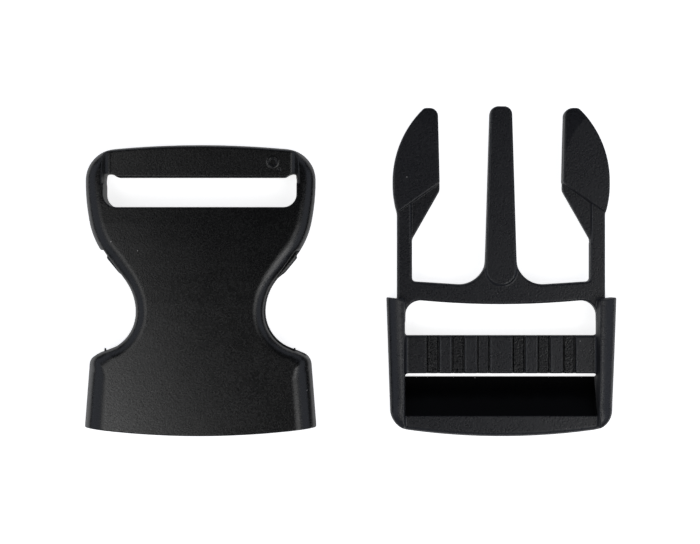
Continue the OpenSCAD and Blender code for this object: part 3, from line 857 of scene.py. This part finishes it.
def plastic(name, finish, colour, roughness, mottle, grain_share, shine):
    """Black plastic with a spark-eroded grain, uneven gloss and tone, and a few specks of dust."""
    material, tree = new_nodes(name)
    grain_size = 1 / finish.grain
    coord = node(tree, "ShaderNodeTexCoord")
    place = coord.outputs["Object"]
    grain = node(tree, "ShaderNodeTexNoise", [("Vector", place)],
                 Scale=grain_size, Detail=1.0, Roughness=0.5, Distortion=0.4)
    cells = node(tree, "ShaderNodeTexVoronoi", [("Vector", place)],
                 feature="SMOOTH_F1", Scale=1.3 * grain_size, Smoothness=0.8)
    flow = node(tree, "ShaderNodeTexNoise", [("Vector", place)], Scale=FLOW_SCALE, Detail=2.0)
    relief = node(tree, "ShaderNodeMath",
                  [(0, grain.outputs["Fac"]), (1, cells.outputs["Distance"])], operation="ADD")
    bump = node(tree, "ShaderNodeBump", [("Height", relief.outputs["Value"])],
                Distance=finish.grain_high * grain_share)
    wave = node(tree, "ShaderNodeBump",
                [("Height", flow.outputs["Fac"]), ("Normal", bump.outputs["Normal"])],
                Distance=finish.flow_high)
    gloss = node(tree, "ShaderNodeMapRange", [("Value", flow.outputs["Fac"])], **{
        "From Min": 0.35, "From Max": 0.65,
        "To Min": roughness - GLOSS_SWING, "To Max": roughness + GLOSS_SWING})
    facing = node(tree, "ShaderNodeSeparateXYZ", [("Vector", coord.outputs["Normal"])])
    upright = node(tree, "ShaderNodeMath", [(0, facing.outputs["Z"])], operation="ABSOLUTE")
    wall = node(tree, "ShaderNodeMapRange", [("Value", upright.outputs["Value"])], **{
        "From Min": 0.15, "From Max": 0.7, "To Min": finish.walls, "To Max": 0.0})
    matt = node(tree, "ShaderNodeMapRange", [("Value", grain.outputs["Fac"])], **{
        "From Min": 0.3, "From Max": 0.7, "To Min": -mottle, "To Max": mottle})
    spread = node(tree, "ShaderNodeMath",
                  [(0, gloss.outputs["Result"]), (1, wall.outputs["Result"])], operation="ADD")
    rough = node(tree, "ShaderNodeMath",
                 [(0, spread.outputs["Value"]), (1, matt.outputs["Result"])], operation="ADD")
    dust = node(tree, "ShaderNodeTexVoronoi", [("Vector", place)], Scale=finish.dust_count)
    speck = node(tree, "ShaderNodeMath", [(0, dust.outputs["Distance"])], operation="LESS_THAN")
    speck.inputs[1].default_value = finish.dust_size
    tone = node(tree, "ShaderNodeMix", [("Factor", grain.outputs["Fac"])], data_type="RGBA")
    tone.inputs["A"].default_value = (*[c * (1 - TONE_SWING) for c in colour], 1)
    tone.inputs["B"].default_value = (*[c * (1 + TONE_SWING) for c in colour], 1)
    dusty = node(tree, "ShaderNodeMix",
                 [("Factor", speck.outputs["Value"]), ("A", tone.outputs["Result"])], data_type="RGBA")
    dusty.inputs["B"].default_value = DUST_COLOUR
    shader = node(tree, "ShaderNodeBsdfPrincipled", [
        ("Base Color", dusty.outputs["Result"]), ("Roughness", rough.outputs["Value"]),
        ("Normal", wave.outputs["Normal"])], IOR=finish.ior, **{"Specular IOR Level": shine})
    node(tree, "ShaderNodeOutputMaterial", [("Surface", shader.outputs["BSDF"])])
    return material


def face_places(mesh, origin):
    """Middles of the faces in the half's own millimetres, and their directions."""
    middle = np.zeros(len(mesh.polygons) * 3, np.float32)
    facing = np.zeros(len(mesh.polygons) * 3, np.float32)
    mesh.polygons.foreach_get("center", middle)
    mesh.polygons.foreach_get("normal", facing)
    return (middle.reshape(-1, 3) / MM - np.array(origin)).T, facing.reshape(-1, 3).T


class BUCKLE_OT_socket(bpy.types.Operator):
    """Mould the socket: two plates round the hollow for the arms, and the bar for the webbing"""
    bl_idname = "buckle.socket"
    bl_label = "Mould the socket"

    def execute(self, context):
        b, s, f = (in_mm(g) for g in (context.scene.buckle_body, context.scene.buckle_socket,
                                      context.scene.buckle_finish))
        finish = context.scene.buckle_finish
        low, high = SOCKET_BOX
        origin = ((low.x + high.x) / 2 / MM, low.y / MM, low.z / MM)
        cube = f.cube
        reach_x = (high.x - low.x) / 2 / MM + MARGIN
        block = Block((-reach_x, -MARGIN, -MARGIN),
                      (reach_x, s.long + MARGIN, b.body_t + MARGIN), cube)
        form = socket_form(b, s, block)
        piece = moulding("socket_moulding", block, form, origin, f.triangles)
        piece.data.materials.append(plastic(
            "socket_grained_plastic", finish, finish.socket_colour, f.roughness, f.mottle,
            grain_share=1.0, shine=0.5))
        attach(piece, "root")
        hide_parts("socket")
        return {"FINISHED"}


def plug_zones(b, p, mesh, origin):
    """0 for a grained face, 1 for the polished slope, which is painted a darker colour as shade, 2 for
    the coarse floor of a grip channel.
    """
    (x, y, z), (_, _, up) = face_places(mesh, origin)
    wide = np.abs(x)
    near_slope, slope_up = 0.5, 0.4
    off_slope = np.abs(z - p.lip_z - slope_rise(p) * (-p.lip_y - y))
    on_slope = (wide < b.slot_half) & (-p.land_y < y) & (y < -p.lip_y)
    zone = np.zeros(len(x), np.int32)
    zone[on_slope & (off_slope < near_slope) & (up > slope_up)] = 1
    near_floor, floor_up = 0.2, 0.7
    floor_z = p.ladder_z + p.ladder_t - p.channel_deep
    past = np.maximum(y + p.window_len, -y - p.window_len - p.ladder_d)
    off_floor = np.abs(z - floor_z) + np.maximum(past, 0)
    for i in range(CHANNELS):
        start = p.channel_first + i * p.channel_pitch
        strip = (wide > start) & (wide < start + p.channel_w)
        strip &= (off_floor < near_floor) & (up > floor_up)
        # Left of the axis the nearest channel is smooth.
        if i == 0:
            strip &= x > 0
        zone[strip] = 2
    return zone


class BUCKLE_OT_plug(bpy.types.Operator):
    """Mould the plug: tongue and latch arms on a crossbar, and the adjuster's rails and bars"""
    bl_idname = "buckle.plug"
    bl_label = "Mould the plug"

    def execute(self, context):
        b, p, f = (in_mm(g) for g in (context.scene.buckle_body, context.scene.buckle_plug,
                                      context.scene.buckle_finish))
        finish = context.scene.buckle_finish
        low, high = PLUG_BOX
        origin = ((low.x + high.x) / 2 / MM, high.y / MM - p.tongue_len, low.z / MM)
        cube = f.cube
        block = Block((-p.rail_half - MARGIN, -p.back - MARGIN, -MARGIN),
                      (p.rail_half + MARGIN, p.tongue_len + MARGIN, b.body_t + MARGIN), cube)
        form = plug_form(b, p, block)
        piece = moulding("plug_moulding", block, form, origin, f.triangles)
        # The polished slope's tint of 0.1 is painted shade. Its colour is darkened to a tenth to stand
        # in for the shade on a slope that faces away from the lights.
        for name, tint, roughness, mottle, grain_share, shine in (
                ("plug_grained_plastic", 1.0, f.plug_roughness, f.mottle, 2.2, 0.42),
                ("plug_polished_plastic_painted_shade", 0.1, f.polished, 0.0, 0.1, 0.05),
                ("plug_coarse_plastic", 0.4, f.roughness + 0.04, 4 * f.mottle, 6.0, 0.32)):
            colour = [tint * c for c in finish.plug_colour]
            piece.data.materials.append(
                plastic(name, finish, colour, roughness, mottle, grain_share, shine))
        piece.data.polygons.foreach_set("material_index", plug_zones(b, p, piece.data, origin))
        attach(piece, "root")
        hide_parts("plug")
        return {"FINISHED"}


WHITE = (1.0, 1.0, 1.0)
COOL = (0.9, 0.96, 1.12)
# Each softbox: name, its tilt from straight up and its turn in degrees, its distance, width and
# height in metres, its power in watts, and its colour.
SOFTBOXES = (
    ("lower_right_softbox", 34, 315, 0.75, 0.32, 0.32, 0.9, WHITE),
    ("lower_left_softbox", 22, 225, 0.75, 0.2, 0.2, 0.36, WHITE),
    ("upper_right_softbox", 22, 345, 0.75, 0.26, 0.26, 0.31, WHITE),
    ("upper_left_softbox", 24, 180, 0.75, 0.26, 0.26, 0.34, WHITE),
    ("left_side_softbox", 58, 175, 0.75, 0.9, 0.6, 1.0, COOL),
    ("right_side_softbox", 58, 0, 0.75, 0.9, 0.6, 0.95, COOL),
    ("far_side_softbox", 60, 90, 0.75, 1.3, 0.5, 1.0, COOL),
    ("near_side_softbox", 60, 262, 0.75, 1.3, 0.5, 0.8, COOL),
)


def softbox(name, tilt, turn, far, wide, high, power, colour):
    """A rectangular softbox that looks at the middle of the table."""
    lamp = bpy.data.lights.new(name, "AREA")
    lamp.shape = "RECTANGLE"
    lamp.size, lamp.size_y = wide, high
    lamp.energy = power
    lamp.color = colour
    obj = bpy.data.objects.new(name, lamp)
    bpy.context.scene.collection.objects.link(obj)
    up, around = math.radians(tilt), math.radians(turn)
    way = Vector((math.sin(up) * math.cos(around), math.sin(up) * math.sin(around), math.cos(up)))
    obj.location = far * way
    obj.rotation_euler = (-way).to_track_quat("-Z", "Y").to_euler()


class BUCKLE_OT_stage(bpy.types.Operator):
    """Set up the table, the camera and the softboxes"""
    bl_idname = "buckle.stage"
    bl_label = "Set up the studio"

    def execute(self, context):
        studio = context.scene.buckle_studio
        half = 1.5
        table = bpy.data.meshes.new("table")
        table.from_pydata([(-half, -half, 0), (half, -half, 0), (half, half, 0), (-half, half, 0)],
                          [], [(0, 1, 2, 3)])
        floor = bpy.data.objects.new("table", table)
        context.scene.collection.objects.link(floor)
        material, tree = new_nodes("white_table")
        out = tree.nodes.new("ShaderNodeOutputMaterial")
        paper = node(tree, "ShaderNodeBsdfDiffuse", Color=(*studio.table, 1))
        glow = node(tree, "ShaderNodeEmission", Strength=studio.glow)
        both = node(tree, "ShaderNodeAddShader")
        tree.links.new(paper.outputs["BSDF"], both.inputs[0])
        tree.links.new(glow.outputs["Emission"], both.inputs[1])
        tree.links.new(both.outputs["Shader"], out.inputs["Surface"])
        table.materials.append(material)
        camera = bpy.data.cameras.new("camera")
        camera.lens = studio.focal
        camera.clip_start = 0.01
        eye = bpy.data.objects.new("camera", camera)
        context.scene.collection.objects.link(eye)
        eye.location = (0, studio.camera_y, studio.camera_high)
        context.scene.camera = eye
        for name, tilt, turn, far, wide, high, power, colour in SOFTBOXES:
            softbox(name, tilt, turn, far, wide, high, studio.lights * power, colour)
        world = bpy.data.worlds.new("studio")
        world.use_nodes = True
        world.node_tree.nodes["Background"].inputs["Strength"].default_value = 0.0
        context.scene.world = world
        context.scene.view_settings.view_transform = "Standard"
        return {"FINISHED"}


class BUCKLE_PT_panel(bpy.types.Panel):
    """Lists the steps that build the buckle"""
    bl_idname = "BUCKLE_PT_panel"
    bl_label = "Side Release Buckle"
    bl_space_type = "VIEW_3D"
    bl_region_type = "UI"
    bl_category = "Buckle"

    def draw(self, context):
        for step in STEPS:
            self.layout.operator(step.bl_idname)
        for name in GROUPS:
            group = getattr(context.scene, name)
            box = self.layout.box()
            box.label(text=name.replace("buckle_", "").capitalize())
            for key in group.__annotations__:
                box.prop(group, key)


STEPS = (BUCKLE_OT_stage, BUCKLE_OT_socket, BUCKLE_OT_plug)
GROUPS = {
    "buckle_body": BuckleBodySizes,
    "buckle_socket": BuckleSocketSizes,
    "buckle_plug": BucklePlugSizes,
    "buckle_finish": BuckleFinish,
    "buckle_studio": BuckleStudio,
}


def register():
    for group in GROUPS.values():
        bpy.utils.register_class(group)
    for name, group in GROUPS.items():
        setattr(bpy.types.Scene, name, PointerProperty(type=group))
    for step in STEPS:
        bpy.utils.register_class(step)
    bpy.utils.register_class(BUCKLE_PT_panel)


def unregister():
    bpy.utils.unregister_class(BUCKLE_PT_panel)
    for step in reversed(STEPS):
        bpy.utils.unregister_class(step)
    for name in GROUPS:
        delattr(bpy.types.Scene, name)
    for group in reversed(list(GROUPS.values())):
        bpy.utils.unregister_class(group)


def main():
    register()
    bpy.ops.buckle.stage()
    bpy.ops.buckle.socket()
    bpy.ops.buckle.plug()


if __name__ == "__main__":
    main()
